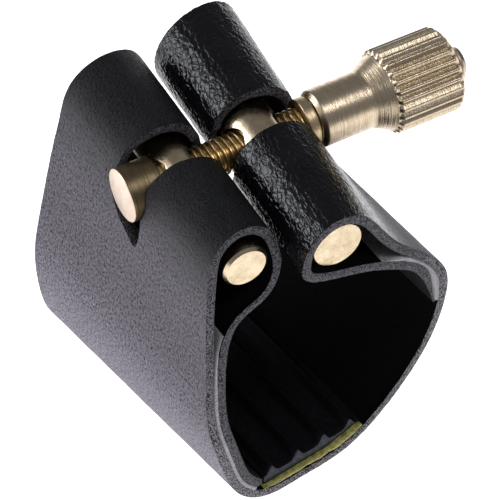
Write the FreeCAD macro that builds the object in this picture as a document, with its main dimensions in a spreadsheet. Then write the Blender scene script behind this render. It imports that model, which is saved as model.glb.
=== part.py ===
import FreeCAD, Part
import math
import os

import Sketcher

os.makedirs("parts", exist_ok=True)

# Saxophone ligature: a leather strap closed round the mouthpiece by one screw.
# Frame: X across the mouthpiece, towards the knurled nut; Y along it, from the front
# edge of the strap to the back edge; Z up. Origin: centre of the mouthpiece opening.
# All sizes are millimetres.

doc = FreeCAD.newDocument("ligature")
sheet = doc.addObject("Spreadsheet::Sheet", "Dimensions")

DIMENSIONS = {
    # strap
    "strap_length": 32.4,
    "leather": 1.05,
    "ply_pitch": 2.48,
    "ply_glue": 0.28,
    "flap_glue": 0.12,
    "glue_gap": 0.02,
    "bottom_level": -17.2,
    "flat_left": -5.2,
    "flat_right": 1.6,
    "flex_x": 8.4,
    "flex_gap": 0.1,
    "flex_level": -14.28,
    "flex_slope": 0.8,
    "left_front_x": -7.2,
    "left_front_half": 4.2,
    "left_back_x": -3.9,
    "left_back_half": 5.5,
    "right_front_x": 1.98,
    "right_front_half": 4.35,
    "right_back_x": 8.2,
    "right_back_half": 5.5,
    "loop_front_height": 4.22,
    "loop_back_height": 5.08,
    "front_slant_from": -4.0,
    "front_slant": 0.19,
    "head_clearance": 3.35,
    "stud_clearance": 2.6,
    "notch_half_width": 2.6,
    "notch_top": 13.0,
    "notch_outside_low": -7.0,
    "notch_inside_low": -3.4,
    "notch_outside_reach": 8.0,
    "notch_inside_reach": 6.0,
    # closing screw
    "screw_level": 16.5,
    "screw_offset": 1.2,
    "screw_turn": -8.1,
    "rod_spacing": 9.42,
    "left_rod_radius": 2.5,
    "left_rod_length": 29.4,
    "right_rod_radius": 3.0,
    "right_rod_length": 32.9,
    "rod_chamfer": 0.3,
    "left_cross_radius": 2.05,
    "right_cross_radius": 2.35,
    "stud_radius": 2.0,
    "stud_head_radius": 2.95,
    "stud_head_start": -11.1,
    "stud_head_end": -7.26,
    "stud_end": 28.9,
    "stud_chamfer": 0.4,
    "head_chamfer": 0.25,
    "washer_start": 9.6,
    "washer_end": 10.8,
    "washer_radius": 2.75,
    "running_radius": 2.05,
    "nut_start": 10.9,
    "nut_shank_radius": 3.15,
    "nut_shank_chamfer": 0.5,
    "nut_cone_start": 17.1,
    "nut_head_start": 19.2,
    "nut_head_end": 27.2,
    "nut_head_radius": 4.75,
    "nut_head_chamfer": 0.45,
    "knurl_count": 27,
    "knurl_depth": 0.35,
    "knurl_width": 0.55,
    # ribbed pad and glue
    "pad_centre": -0.4,
    "pad_width": 13.0,
    "pad_length": 31.0,
    "pad_base": 1.4,
    "pad_bevel": 1.2,
    "pad_bevel_run": 4.4,
    "pad_bed": 0.4,
    "bed_width": 7.0,
    "bed_centre": -2.0,
    "rib_centre": -0.6,
    "rib_pitch": 3.5,
    "rib_count": 4,
    "rib_height": 1.0,
    "rib_width": 1.3,
}
for row, (alias, value) in enumerate(DIMENSIONS.items(), start=1):
    cell = f"B{row}"
    sheet.set(f"A{row}", alias)
    sheet.set(cell, str(value))
    sheet.setAlias(cell, alias)
doc.recompute()


def dim(alias):
    """Value of one cell of the dimension sheet."""
    return float(sheet.get(alias))


def bind(target, prop, expression):
    """Tie a property or a named sketch constraint to the dimension sheet."""
    words = expression
    for alias in sorted(DIMENSIONS, key=len, reverse=True):
        words = words.replace("$" + alias, "Dimensions." + alias)
    target.setExpression(prop, words)


# ---------------------------------------------------------------- screw frame

def screw_placement():
    """Placement whose X axis is the screw, and whose Y axis runs along the rods."""
    base = FreeCAD.Vector(0, dim("screw_offset"), dim("screw_level"))
    turn = FreeCAD.Rotation(FreeCAD.Vector(0, 0, 1), dim("screw_turn"))
    return FreeCAD.Placement(base, turn)


SCREW = screw_placement()


# ---------------------------------------------------------------- bodies

def new_body(label):
    body = doc.addObject("PartDesign::Body", label)
    body.Label = label
    return body


def origin_plane(body, role):
    return next(f for f in body.Origin.OriginFeatures if f.Role == role)


def new_sketch(body, role, name):
    sketch = body.newObject("Sketcher::SketchObject", name)
    sketch.AttachmentSupport = [(origin_plane(body, role), "")]
    sketch.MapMode = "FlatFace"
    return sketch


def draw_circle(sketch, radius_alias):
    """A circle on the sketch's origin, its radius read from the sheet."""
    centre = FreeCAD.Vector(0, 0, 0)
    normal = FreeCAD.Vector(0, 0, 1)
    circle = sketch.addGeometry(Part.Circle(centre, normal, dim(radius_alias)), False)
    sketch.addConstraint(Sketcher.Constraint("Coincident", circle, 3, -1, 1))
    index = sketch.addConstraint(Sketcher.Constraint("Radius", circle, dim(radius_alias)))
    sketch.renameConstraint(index, "radius")
    bind(sketch, "Constraints.radius", "$" + radius_alias)


def draw_outline(sketch, points):
    """Closed outline: each point is (name, x expression, y expression)."""
    def value(expression):
        words = expression
        for alias in sorted(DIMENSIONS, key=len, reverse=True):
            words = words.replace("$" + alias, f"({dim(alias)!r})")
        return float(FreeCAD.Units.Quantity(words).Value)

    places = [FreeCAD.Vector(value(x), value(y), 0) for _, x, y in points]
    count = len(points)
    for i in range(count):
        sketch.addGeometry(Part.LineSegment(places[i], places[(i + 1) % count]), False)
    for i in range(count):
        sketch.addConstraint(Sketcher.Constraint("Coincident", i, 2, (i + 1) % count, 1))
    for i, (name, x, y) in enumerate(points):
        for kind, letter, expression, place in (
            ("DistanceX", "x", x, places[i].x),
            ("DistanceY", "y", y, places[i].y),
        ):
            index = sketch.addConstraint(Sketcher.Constraint(kind, -1, 1, i, 1, place))
            sketch.renameConstraint(index, f"{name}_{letter}")
            bind(sketch, f"Constraints.{name}_{letter}", expression)


def revolve_about_screw(body, sketch):
    """Full turn of a sketch on the XY plane about the screw axis."""
    turned = body.newObject("PartDesign::Revolution", body.Label + "_turned")
    turned.Profile = sketch
    turned.ReferenceAxis = (sketch, ["H_Axis"])
    turned.Angle = 360
    return turned


def pad_along_y(body, sketch, length_alias):
    """Pad a sketch on the XZ plane, equally to the front and to the back."""
    pad = body.newObject("PartDesign::Pad", body.Label + "_pad")
    pad.Profile = sketch
    pad.Midplane = True
    bind(pad, "Length", "$" + length_alias)
    return pad


# ---------------------------------------------------------------- rods

def make_rod(label, side, radius_alias, length_alias, cross_alias):
    """Round bar inside a strap loop, with a cross hole for the stud."""
    body = new_body(label)
    round_sketch = new_sketch(body, "XZ_Plane", label + "_round")
    draw_circle(round_sketch, radius_alias)
    bar = pad_along_y(body, round_sketch, length_alias)
    doc.recompute()
    solid_volume = body.Shape.Volume

    hole_sketch = new_sketch(body, "YZ_Plane", label + "_hole")
    draw_circle(hole_sketch, cross_alias)
    hole = body.newObject("PartDesign::Pocket", label + "_cross_hole")
    hole.Profile = hole_sketch
    hole.Type = 1
    hole.Midplane = True
    doc.recompute()
    if body.Shape.Volume > solid_volume - 1.0:
        raise RuntimeError(label + " has no cross hole")

    ends = []
    for number, edge in enumerate(body.Shape.Edges, start=1):
        if abs(abs(edge.CenterOfMass.y) - dim(length_alias) / 2) < 0.01:
            ends.append(f"Edge{number}")
    rim = body.newObject("PartDesign::Chamfer", label + "_rim")
    rim.Base = (hole, ends)
    bind(rim, "Size", "$rod_chamfer")
    shift = FreeCAD.Vector(side * dim("rod_spacing") / 2, 0, 0)
    body.Placement = SCREW.multiply(FreeCAD.Placement(shift, FreeCAD.Rotation()))
    return body


# ---------------------------------------------------------------- stud, washer, nut

def make_stud():
    """Threaded stud, drawn at its major diameter, with a plain round head."""
    body = new_body("threaded_stud")
    sketch = new_sketch(body, "XY_Plane", "stud_profile")
    draw_outline(sketch, [
        ("axis_a", "$stud_head_start", "0"),
        ("face", "$stud_head_start", "$stud_head_radius - $head_chamfer"),
        ("rim", "$stud_head_start + $head_chamfer", "$stud_head_radius"),
        ("shoulder", "$stud_head_end", "$stud_head_radius"),
        ("neck", "$stud_head_end", "$stud_radius"),
        ("tip_rim", "$stud_end - $stud_chamfer", "$stud_radius"),
        ("tip", "$stud_end", "$stud_radius - $stud_chamfer"),
        ("axis_b", "$stud_end", "0"),
    ])
    revolve_about_screw(body, sketch)
    body.Placement = SCREW
    return body


def make_washer():
    """Thrust washer between the right rod and the nut."""
    body = new_body("thrust_washer")
    sketch = new_sketch(body, "XY_Plane", "washer_profile")
    draw_outline(sketch, [
        ("bore_a", "$washer_start", "$running_radius"),
        ("bore_b", "$washer_end", "$running_radius"),
        ("rim_b", "$washer_end", "$washer_radius - $head_chamfer"),
        ("edge_b", "$washer_end - $head_chamfer", "$washer_radius"),
        ("edge_a", "$washer_start + $head_chamfer", "$washer_radius"),
        ("rim_a", "$washer_start", "$washer_radius - $head_chamfer"),
    ])
    revolve_about_screw(body, sketch)
    body.Placement = SCREW
    return body


def make_nut():
    """Thumb nut: chamfered shank, cone and straight-knurled head, bored through."""
    body = new_body("thumb_nut")
    sketch = new_sketch(body, "XY_Plane", "nut_profile")
    draw_outline(sketch, [
        ("bore_a", "$nut_start", "$running_radius"),
        ("bore_b", "$nut_head_end", "$running_radius"),
        ("face", "$nut_head_end", "$nut_head_radius - $nut_head_chamfer"),
        ("head_b", "$nut_head_end - $nut_head_chamfer", "$nut_head_radius"),
        ("head_a", "$nut_head_start + $nut_head_chamfer", "$nut_head_radius"),
        ("cone_b", "$nut_head_start", "$nut_head_radius - $nut_head_chamfer"),
        ("cone_a", "$nut_cone_start", "$nut_shank_radius"),
        ("shank", "$nut_start + $nut_shank_chamfer", "$nut_shank_radius"),
        ("nose", "$nut_start", "$nut_shank_radius - $nut_shank_chamfer"),
    ])
    turned = revolve_about_screw(body, sketch)
    doc.recompute()
    plain_volume = body.Shape.Volume

    groove_sketch = new_sketch(body, "YZ_Plane", "knurl_groove")
    draw_outline(groove_sketch, [
        ("root", "0", "$nut_head_radius - $knurl_depth"),
        ("right", "$knurl_width / 2", "$nut_head_radius + $knurl_depth"),
        ("left", "-$knurl_width / 2", "$nut_head_radius + $knurl_depth"),
    ])
    groove = body.newObject("PartDesign::Pocket", "knurl_cut")
    groove.Profile = groove_sketch
    groove.Type = 1
    groove.Midplane = True
    doc.recompute()
    if body.Shape.Volume > plain_volume - 0.1:
        raise RuntimeError("the knurl groove cuts nothing")
    knurl = body.newObject("PartDesign::PolarPattern", "knurl")
    knurl.Originals = [groove]
    knurl.Axis = (sketch, ["H_Axis"])
    knurl.Angle = 360
    bind(knurl, "Occurrences", "$knurl_count")
    body.Tip = knurl
    doc.recompute()
    if not body.Shape.isValid() or turned.Shape.Volume <= body.Shape.Volume:
        raise RuntimeError("the knurl failed")
    body.Placement = SCREW
    return body


# ---------------------------------------------------------------- strap

HALF = dim("strap_length") / 2
EDGES = {"front": -HALF, "back": HALF}

# Points (x, z) of the strap's outer surface at its two edges. The left wall and the
# left fold run up from the bottom, the slope runs up to the right loop, and the flap
# runs from that loop to its end inside the right wall.
LEFT_WALL = {
    "front": [(-7.6, -16.6), (-9.3, -15.4), (-10.9, -13.3), (-12.7, -8.0),
              (-13.9, -2.1), (-13.75, 2.2), (-13.2, 5.5), (-12.45, 11.0)],
    "back": [(-8.4, -16.65), (-10.6, -15.4), (-12.4, -13.2), (-13.8, -8.0),
             (-14.0, -2.3), (-13.3, 2.0), (-12.4, 5.5), (-11.0, 11.0)],
}
LEFT_FOLD = {
    "front": [(-8.5, 10.1), (-4.6, 11.6), (-3.0, 14.0)],
    "back": [(-5.0, 9.8), (0.0, 11.4), (1.6, 13.9)],
}
BEND = [(6.1, -15.92), (3.9, -16.84)]
RIGHT_WALL = [(11.2, -11.6), (13.6, -8.6), (15.5, -5.2), (16.7, -1.1), (16.85, 2.3), (15.75, 5.3)]
SLOPE = {
    "front": [(13.3, 8.5), (9.8, 12.4), (7.0, 16.9)],
    "back": [(14.4, 8.7), (14.4, 12.5), (13.75, 16.5)],
}
FLAP = {
    "front": [(-2.05, 14.6), (0.0, 13.0), (5.5, 10.7)],
    "back": [(3.5, 13.8), (5.5, 12.1), (8.6, 10.6)],
}
FLAP_END = [(10.3, 7.8), (12.45, 5.75), (13.6, 3.6), (14.35, 1.3)]


def ring(side, edge, angles):
    """Points round a loop at one edge of the strap, by their angles in degrees."""
    x, half = dim(f"{side}_{edge}_x"), dim(f"{side}_{edge}_half")
    z, height = dim("screw_level"), dim(f"loop_{edge}_height")
    turns = [math.radians(angle) for angle in angles]
    return [(x + half * math.cos(t), z + height * math.sin(t)) for t in turns]


def lining(outer, distance):
    """Points beside the inner points of an outline, on the right as it is walked."""
    result = []
    for before, (x, z), after in zip(outer, outer[1:], outer[2:]):
        across, up = after[0] - before[0], after[1] - before[1]
        share = distance / math.hypot(across, up)
        result.append((x + share * up, z - share * across))
    return result


def left_bend(edge):
    """Outer surface from the flex line down to the flat bottom."""
    step = dim("flex_gap") / 2
    flex = (dim("flex_x") - step, dim("flex_level") - dim("flex_slope") * step)
    return [flex] + BEND + [(dim("flat_right"), dim("bottom_level"))]


def left_path(edge):
    """Outer surface of the left half: end of the flat bottom, wall, loop, inner ply."""
    wall = LEFT_WALL[edge]
    start = [(dim("flat_left"), dim("bottom_level"))]
    loop = ring("left", edge, (180, 135, 90, 45, 0))
    inner = LEFT_FOLD[edge][::-1] + lining(wall, dim("ply_pitch"))[::-1]
    return start + wall + loop + inner


def right_path(edge):
    """Outer surface of the right half: flex line, wall, corner, loop, inner flap."""
    step = dim("flex_gap") / 2
    flex = (dim("flex_x") + step, dim("flex_level") + dim("flex_slope") * step)
    loop = ring("right", edge, (45, 90, 135, 180))
    return [flex] + RIGHT_WALL + SLOPE[edge] + loop + FLAP[edge] + FLAP_END


LEVEL = FreeCAD.Vector(-1, 0, 0)


def knots(path_at):
    """Distance of each point of a path from its start, half-way between the two edges."""
    middle = [
        ((a + c) / 2, (b + d) / 2) for (a, b), (c, d) in zip(path_at("front"), path_at("back"))
    ]
    result = [0.0]
    for before, after in zip(middle, middle[1:]):
        result.append(result[-1] + math.dist(before, after))
    return result


def spline(points, y, at, level=(False, False)):
    """Smooth curve through points at given parameters, level at an end where asked."""
    curve = Part.BSplineCurve()
    curve.interpolate(
        Points=[FreeCAD.Vector(x, y, z) for x, z in points],
        Parameters=at,
        Tangents=[LEVEL] * len(points),
        TangentFlags=[level[0]] + [False] * (len(points) - 2) + [level[1]],
    )
    return curve


POINT_SPACING = 1.0


def beside(curve, at, distance):
    """Points beside a curve, on its right as seen from the front."""
    result = []
    for parameter in at:
        place = curve.value(parameter)
        along = curve.tangent(parameter)[0]
        result.append((place.x + distance * along.z, place.z - distance * along.x))
    return result


def strip_wire(path_at, edge, near, far, stretch, level):
    """Closed section of a strip whose faces lie `near` and `far` beside a path.

    The strip covers the path from one of its points to another, by their numbers.
    Both edges use the same parameters, so that the loft joins matching points.
    """
    y = EDGES[edge]
    along = knots(path_at)
    guide = spline(path_at(edge), y, along, level)
    first, last = (along[i] for i in stretch)
    count = max(4, round((last - first) / POINT_SPACING))
    at = [first + (last - first) * i / count for i in range(count + 1)]
    sides = [spline(beside(guide, at, d), y, at) for d in (near, far)]
    ends = [
        Part.LineSegment(sides[0].EndPoint, sides[1].EndPoint),
        Part.LineSegment(sides[1].StartPoint, sides[0].StartPoint),
    ]
    sides[1].reverse()
    return Part.Wire([g.toShape() for g in (sides[0], ends[0], sides[1], ends[1])])


def strip(path_at, near, far, stretch=(0, -1), level=(False, False)):
    """Strip from the front edge to the back edge, flaring with its loop."""
    wires = [strip_wire(path_at, edge, near, far, stretch, level) for edge in EDGES]
    return Part.makeLoft(wires, True, True)


def front_slant():
    """Wedge that trims the front edge of the left loop back."""
    reach = 2 * dim("strap_length")
    start = dim("front_slant_from")
    outline = [(-HALF, start), (-HALF - reach, start), (-HALF - reach, reach)]
    outline.append((-HALF + dim("front_slant") * (reach - start), reach))
    corners = [FreeCAD.Vector(-reach, y, z) for y, z in outline]
    face = Part.Face(Part.makePolygon(corners + corners[:1]))
    return face.extrude(FreeCAD.Vector(2 * reach, 0, 0))


def flat_bottom():
    """Flat stretch under the pad, the face the strap stands on."""
    corner = FreeCAD.Vector(dim("flat_left"), -HALF, dim("bottom_level"))
    width = dim("flat_right") - dim("flat_left")
    return Part.makeBox(width, 2 * HALF, dim("leather"), corner)


def notch(x_from, x_to, low):
    """Lens-shaped cutter along the screw, pointed at its low and high ends."""
    high = dim("notch_top")
    middle = (low + high) / 2
    tips = [FreeCAD.Vector(x_from, 0, low), FreeCAD.Vector(x_from, 0, high)]
    sides = []
    for half_width in (dim("notch_half_width"), -dim("notch_half_width")):
        bulge = FreeCAD.Vector(x_from, half_width, middle)
        sides.append(Part.Arc(tips[0], bulge, tips[1]).toShape())
    lens = Part.Face(Part.Wire(sides)).extrude(FreeCAD.Vector(x_to - x_from, 0, 0))
    lens.Placement = SCREW
    return lens


def screw_hole(x_from, x_to, radius):
    """Round cutter on the screw axis."""
    start = FreeCAD.Vector(x_from, 0, 0)
    along = FreeCAD.Vector(1 if x_to > x_from else -1, 0, 0)
    hole = Part.makeCylinder(radius, abs(x_to - x_from), start, along)
    hole.Placement = SCREW
    return hole


def notches(side):
    """Slot over a loop: deep and pointed outside, shallow towards the gap."""
    centre = side * dim("rod_spacing") / 2
    outside = centre + side * dim("notch_outside_reach")
    inside = centre - side * dim("notch_inside_reach")
    return [
        notch(centre, outside, dim("notch_outside_low")),
        screw_hole(centre, outside, dim("head_clearance")),
        notch(centre, inside, dim("notch_inside_low")),
        screw_hole(centre, inside, dim("stud_clearance")),
    ]


def make_shape(label, shape):
    feature = doc.addObject("Part::Feature", label)
    feature.Label = label
    feature.Shape = shape
    feature.Placement = FreeCAD.Placement()
    return feature


def make_leather_left():
    wall = strip(left_path, 0.0, dim("leather"), level=(True, False))
    bend = strip(left_bend, 0.0, dim("leather"), level=(False, True))
    cut_wall = wall.cut(notches(-1) + [front_slant()])
    return make_shape("leather_band_left", cut_wall.fuse([flat_bottom(), bend]))


def make_leather_right():
    blank = strip(right_path, 0.0, -dim("leather"))
    return make_shape("leather_band_right", blank.cut(notches(1)))


# ---------------------------------------------------------------- glue lines

# Points of left_path between which the left wall's plies are glued together, and of
# right_path between which the flap is glued at the upper corner.
LEFT_GLUED = (3, 6)
RIGHT_GLUED = (5, 7)


def make_left_glue():
    """Glue between the two plies of the left wall."""
    near = dim("leather") + dim("glue_gap")
    far = near + dim("ply_glue")
    glue = strip(left_path, near, far, LEFT_GLUED, level=(True, False))
    return make_shape("left_ply_adhesive", glue)


def make_right_glue():
    """Glue between the outer strap and the inner flap at the upper corner."""
    near = -dim("leather") - dim("glue_gap")
    far = near - dim("flap_glue")
    return make_shape("right_ply_adhesive", strip(right_path, near, far, RIGHT_GLUED))


# ---------------------------------------------------------------- pad

def make_pad():
    """Ribbed pad that the mouthpiece and reed bear on."""
    body = new_body("ribbed_pad")
    sketch = new_sketch(body, "XZ_Plane", "pad_profile")
    base = "$bottom_level + $leather + $glue_gap + $pad_bed"
    top = base + " + $pad_base"
    points = [
        ("low_left", "$pad_centre - $pad_width / 2", base),
        ("low_right", "$pad_centre + $pad_width / 2 - $pad_bevel_run", base),
        ("bevel", "$pad_centre + $pad_width / 2", base + " + $pad_bevel"),
        ("end_right", "$pad_centre + $pad_width / 2", top),
    ]
    count = int(dim("rib_count"))
    for i in reversed(range(count)):
        middle = f"$rib_centre + $rib_pitch * {i - (count - 1) / 2}"
        points.append((f"rib{i}_foot_r", middle + " + $rib_width / 2", top))
        points.append((f"rib{i}_top_r", middle + " + $rib_width / 4", top + " + $rib_height"))
        points.append((f"rib{i}_top_l", middle + " - $rib_width / 4", top + " + $rib_height"))
        points.append((f"rib{i}_foot_l", middle + " - $rib_width / 2", top))
    points.append(("end_left", "$pad_centre - $pad_width / 2", top))
    draw_outline(sketch, points)
    pad_along_y(body, sketch, "pad_length")
    return body


def make_pad_glue():
    """Bed of glue that holds the pad to the strap."""
    body = new_body("pad_adhesive")
    sketch = new_sketch(body, "XZ_Plane", "bed_profile")
    base = "$bottom_level + $leather + $glue_gap"
    top = base + " + $pad_bed"
    draw_outline(sketch, [
        ("low_left", "$bed_centre - $bed_width / 2", base),
        ("low_right", "$bed_centre + $bed_width / 2", base),
        ("top_right", "$bed_centre + $bed_width / 2", top),
        ("top_left", "$bed_centre - $bed_width / 2", top),
    ])
    pad_along_y(body, sketch, "pad_length")
    return body


# ---------------------------------------------------------------- build and write

def build():
    return [
        make_leather_left(),
        make_leather_right(),
        make_rod("left_rod", -1, "left_rod_radius", "left_rod_length", "left_cross_radius"),
        make_rod("right_rod", 1, "right_rod_radius", "right_rod_length", "right_cross_radius"),
        make_stud(),
        make_washer(),
        make_nut(),
        make_pad(),
        make_pad_glue(),
        make_left_glue(),
        make_right_glue(),
    ]


def check_and_write(nodes):
    doc.recompute()
    for item in doc.Objects:
        if "Invalid" in item.State or "Error" in item.State:
            raise RuntimeError(f"{item.Label}: {item.State}")
    for node in nodes:
        shape = node.Shape
        if shape.isNull() or not shape.isValid():
            raise RuntimeError(node.Label + " has no valid shape")
        box = shape.BoundBox
        print(
            f"{node.Label:20s} solids {len(shape.Solids)} volume {shape.Volume:9.2f}",
            f"x {box.XMin:.2f} {box.XMax:.2f} y {box.YMin:.2f} {box.YMax:.2f}",
            f"z {box.ZMin:.2f} {box.ZMax:.2f}",
        )
        shape.exportStep(f"parts/{node.Label}.step")


check_and_write(build())
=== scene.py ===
import math

import bpy
import numpy as np
from mathutils import Matrix, Vector, noise


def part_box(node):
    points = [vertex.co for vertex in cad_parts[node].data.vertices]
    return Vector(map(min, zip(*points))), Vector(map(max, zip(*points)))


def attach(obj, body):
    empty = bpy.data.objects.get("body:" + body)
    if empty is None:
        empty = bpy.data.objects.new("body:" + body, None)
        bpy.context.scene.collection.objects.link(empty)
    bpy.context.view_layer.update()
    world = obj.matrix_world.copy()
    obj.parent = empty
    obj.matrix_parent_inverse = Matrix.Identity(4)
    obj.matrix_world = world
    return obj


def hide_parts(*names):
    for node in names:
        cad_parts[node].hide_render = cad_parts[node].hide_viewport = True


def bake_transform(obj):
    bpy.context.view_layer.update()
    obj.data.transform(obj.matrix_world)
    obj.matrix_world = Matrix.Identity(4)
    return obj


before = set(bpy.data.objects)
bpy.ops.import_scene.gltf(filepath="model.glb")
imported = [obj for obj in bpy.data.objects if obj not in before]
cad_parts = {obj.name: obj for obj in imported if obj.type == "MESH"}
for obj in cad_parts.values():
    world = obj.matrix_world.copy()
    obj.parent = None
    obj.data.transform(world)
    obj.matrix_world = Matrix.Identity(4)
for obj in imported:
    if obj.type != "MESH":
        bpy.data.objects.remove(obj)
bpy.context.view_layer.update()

# Saxophone ligature: leather strap, brass screw and ribbed pad, built round the packed
# CAD part. Lengths below are millimetres in the part's frame; MM turns them into metres.

MM = 0.001


def box_mm(node):
    """Low and high corner of a CAD node, in millimetres."""
    low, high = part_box(node)
    return np.array(low) / MM, np.array(high) / MM


def smooth_step(value, start, end):
    """0 before start, 1 after end, smooth in between. Works on arrays."""
    t = np.clip((value - start) / (end - start), 0.0, 1.0)
    return t * t * (3 - 2 * t)


# -------- screw frame

# The screw's axis is level. It is turned about Z from the X axis, through SCREW_ORIGIN.
SCREW_TURN = math.radians(-8.1)
SCREW_ORIGIN = np.array([0.0, 1.2, 16.5])
SCREW_MATRIX = Matrix.Translation(Vector(SCREW_ORIGIN * MM)) @ Matrix.Rotation(SCREW_TURN, 4, "Z")


# -------- mesh building

class Net:
    """Points and faces of one mesh, added grid by grid."""

    def __init__(self):
        self.points = []
        self.faces = []
        self.slots = []
        self.uvs = []
        self.count = 0

    def add(self, points, uvs=None):
        """Add an array of points (..., 3) in millimetres and return their numbers."""
        points = np.asarray(points, float)
        numbers = self.count + np.arange(points[..., 0].size).reshape(points.shape[:-1])
        self.points.append(points.reshape(-1, 3))
        flat = np.zeros((points[..., 0].size, 2)) if uvs is None else np.asarray(uvs, float)
        self.uvs.append(flat.reshape(-1, 2))
        self.count += numbers.size
        return numbers

    def skin(self, numbers, slot=0):
        """Quads between the rows of a 2-D array of point numbers.

        A quad with two equal neighbours becomes a triangle.
        """
        a, b = numbers[:-1, :-1], numbers[1:, :-1]
        c, d = numbers[1:, 1:], numbers[:-1, 1:]
        quads = np.stack([a, b, c, d], axis=-1).reshape(-1, 4)
        for quad in quads.tolist():
            corners = [q for i, q in enumerate(quad) if q != quad[i - 1]]
            if len(corners) > 2:
                self.faces.append(corners)
                self.slots.append(slot)

    def build(self, name, materials):
        """Make the object, smooth shaded, with its materials and surface coordinates."""
        mesh = bpy.data.meshes.new(name)
        points = np.concatenate(self.points) * MM
        mesh.from_pydata(points.tolist(), [], self.faces)
        mesh.polygons.foreach_set("material_index", self.slots)
        mesh.polygons.foreach_set("use_smooth", [True] * len(self.faces))
        corner_points = np.zeros(len(mesh.loops), int)
        mesh.loops.foreach_get("vertex_index", corner_points)
        layer = mesh.uv_layers.new(name="surface")
        layer.data.foreach_set("uv", np.concatenate(self.uvs)[corner_points].ravel())
        for material in materials:
            mesh.materials.append(material)
        mesh.update()
        obj = bpy.data.objects.new(name, mesh)
        bpy.context.scene.collection.objects.link(obj)
        return obj


def curve_through(points, knots, at):
    """Natural cubic curve through the points, read at the knot values `at`."""
    gaps = np.diff(knots)
    count = len(knots)
    system = np.eye(count)
    right = np.zeros((count, points.shape[1]))
    for i in range(1, count - 1):
        system[i, i - 1:i + 2] = gaps[i - 1], 2 * (gaps[i - 1] + gaps[i]), gaps[i]
        step_after = (points[i + 1] - points[i]) / gaps[i]
        step_before = (points[i] - points[i - 1]) / gaps[i - 1]
        right[i] = 6 * (step_after - step_before)
    bend = np.linalg.solve(system, right)
    i = np.clip(np.searchsorted(knots, at) - 1, 0, count - 2)
    gap = gaps[i][:, None]
    ahead = (knots[i + 1] - at)[:, None]
    behind = (at - knots[i])[:, None]
    curved = (bend[i] * ahead ** 3 + bend[i + 1] * behind ** 3) / (6 * gap)
    start = (points[i] / gap - bend[i] * gap / 6) * ahead
    end = (points[i + 1] / gap - bend[i + 1] * gap / 6) * behind
    return curved + start + end


# How far apart neighbouring seeds read the noise.
FIELD_STEP = 17.3
PEBBLE_STEP = 11.7


def field(points, scale, seed, depth=1):
    """Smooth noise from about -1 to 1 at each point; scale is the grain size on each axis."""
    scaled = (points / np.asarray(scale) + seed * FIELD_STEP).reshape(-1, 3)
    if depth == 1:
        values = [noise.noise(p) for p in scaled.tolist()]
    else:
        values = [noise.fractal(p, 1.0, 2.0, depth) for p in scaled.tolist()]
    return np.array(values).reshape(points.shape[:-1])


CREASE_WIDTH = 0.14


def pebbles(points, scale, seed):
    """Rounded pebbles: near 1 at their middles, 0 in the creases between them."""
    scaled = (points / np.asarray(scale) + seed * PEBBLE_STEP).reshape(-1, 3)
    values = []
    for p in scaled.tolist():
        near, second = noise.voronoi(p)[0][:2]
        values.append(second - near)
    return 1 - np.exp(-np.array(values) / CREASE_WIDTH).reshape(points.shape[:-1])


# -------- materials

def new_material(name):
    material = bpy.data.materials.new(name)
    material.use_nodes = True
    return material, material.node_tree


def node(tree, kind, **settings):
    made = tree.nodes.new(kind)
    for key, value in settings.items():
        setattr(made, key, value)
    return made


def surface(tree):
    return tree.nodes["Principled BSDF"]


def link(tree, output, target):
    tree.links.new(output, target)


def coordinates(tree, scale, source="UV"):
    """Surface coordinates in millimetres, divided by the given grain sizes."""
    place = node(tree, "ShaderNodeTexCoord")
    mapping = node(tree, "ShaderNodeMapping")
    mapping.inputs["Scale"].default_value = [1 / (s * MM) for s in scale]
    link(tree, place.outputs[source], mapping.inputs["Vector"])
    return mapping.outputs["Vector"]


def noise_texture(tree, scale, detail=2.0, roughness=0.5, source="UV"):
    """Noise from 0 to 1 with the given grain sizes in millimetres."""
    texture = node(tree, "ShaderNodeTexNoise")
    texture.inputs["Scale"].default_value = 1.0
    texture.inputs["Detail"].default_value = detail
    texture.inputs["Roughness"].default_value = roughness
    link(tree, coordinates(tree, scale, source), texture.inputs["Vector"])
    return texture.outputs["Fac"]


def ramp(tree, value, low, high, to_low=0.0, to_high=1.0):
    """Map a value from low..high to to_low..to_high, clamped."""
    mapped = node(tree, "ShaderNodeMapRange")
    mapped.inputs["From Min"].default_value = low
    mapped.inputs["From Max"].default_value = high
    mapped.inputs["To Min"].default_value = to_low
    mapped.inputs["To Max"].default_value = to_high
    link(tree, value, mapped.inputs["Value"])
    return mapped.outputs["Result"]


def bump(tree, height, distance, strength=1.0, under=None):
    """Bump of a height field; distance is its depth in millimetres."""
    made = node(tree, "ShaderNodeBump")
    made.inputs["Distance"].default_value = distance * MM
    made.inputs["Strength"].default_value = strength
    link(tree, height, made.inputs["Height"])
    if under is not None:
        link(tree, under, made.inputs["Normal"])
    return made.outputs["Normal"]


def attribute(tree, name):
    """Number stored for each point of the mesh."""
    made = node(tree, "ShaderNodeAttribute", attribute_name=name)
    return made.outputs["Fac"]


def blended(tree, fac, first, second):
    """Colour between two colours, each three numbers or a socket, by fac."""
    mix = node(tree, "ShaderNodeMix", data_type="RGBA")
    for name, value in (("A", first), ("B", second)):
        if isinstance(value, tuple):
            mix.inputs[name].default_value = (*value, 1)
        else:
            link(tree, value, mix.inputs[name])
    link(tree, fac, mix.inputs["Factor"])
    return mix.outputs["Result"]


def mixed(tree, fac, first, second):
    """Number between two numbers, each plain or a socket, by fac."""
    mix = node(tree, "ShaderNodeMix", data_type="FLOAT")
    for name, value in (("A", first), ("B", second)):
        if isinstance(value, float):
            mix.inputs[name].default_value = value
        else:
            link(tree, value, mix.inputs[name])
    link(tree, fac, mix.inputs["Factor"])
    return mix.outputs["Result"]


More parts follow.
